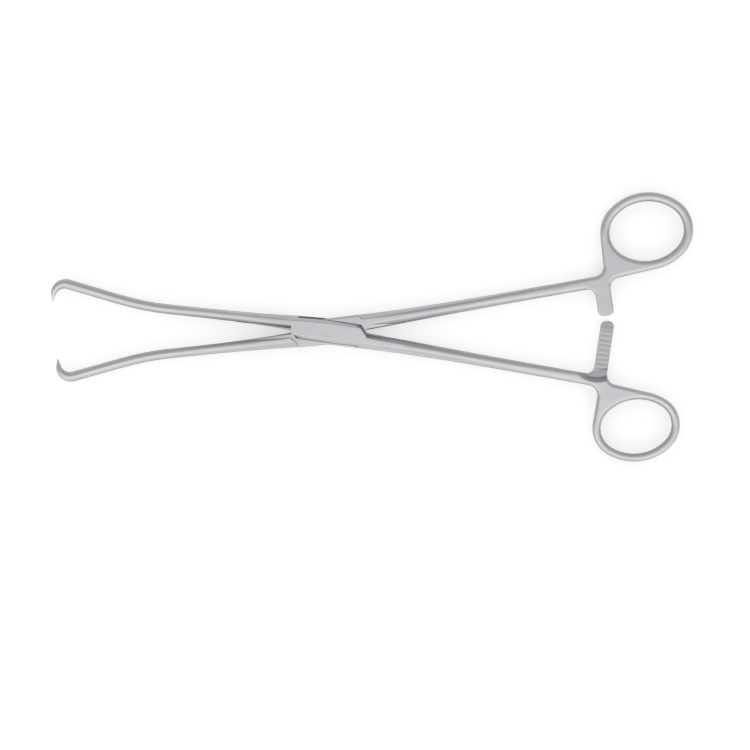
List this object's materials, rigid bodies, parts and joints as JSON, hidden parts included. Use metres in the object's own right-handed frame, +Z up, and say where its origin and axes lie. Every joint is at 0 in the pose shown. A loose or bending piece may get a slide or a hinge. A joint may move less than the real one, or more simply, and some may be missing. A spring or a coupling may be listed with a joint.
{
  "type": "tenaculum forceps",
  "caption": "Long surgical grasping forceps with inward hooks, a riveted box lock, finger rings and a toothed ratchet, lying flat and partly open.",
  "frame": {"origin": "on the lock pin's axis, in the plane of the lock's lower face", "axes": "+X along the instrument towards the finger rings, hooks at -X; +Z up, along the lock pin; +Y towards the tongue half's ring"},
  "size_m": [0.2491, 0.1045, 0.0065],
  "materials": {
    "steel": "satin",
    "pin_steel": "satin"
  },
  "bodies": {
    "box_body": {"box_half": "steel", "lock_pin": "pin_steel"},
    "tongue_body": {"tongue_half": "steel"}
  },
  "joints": [
    {"name": "lock_hinge", "type": "hinge", "parent": "box_body", "child": "tongue_body", "pos_m": [0, 0, 0], "axis": [0, 0, 1], "range_deg": [-12, 30]}
  ]
}
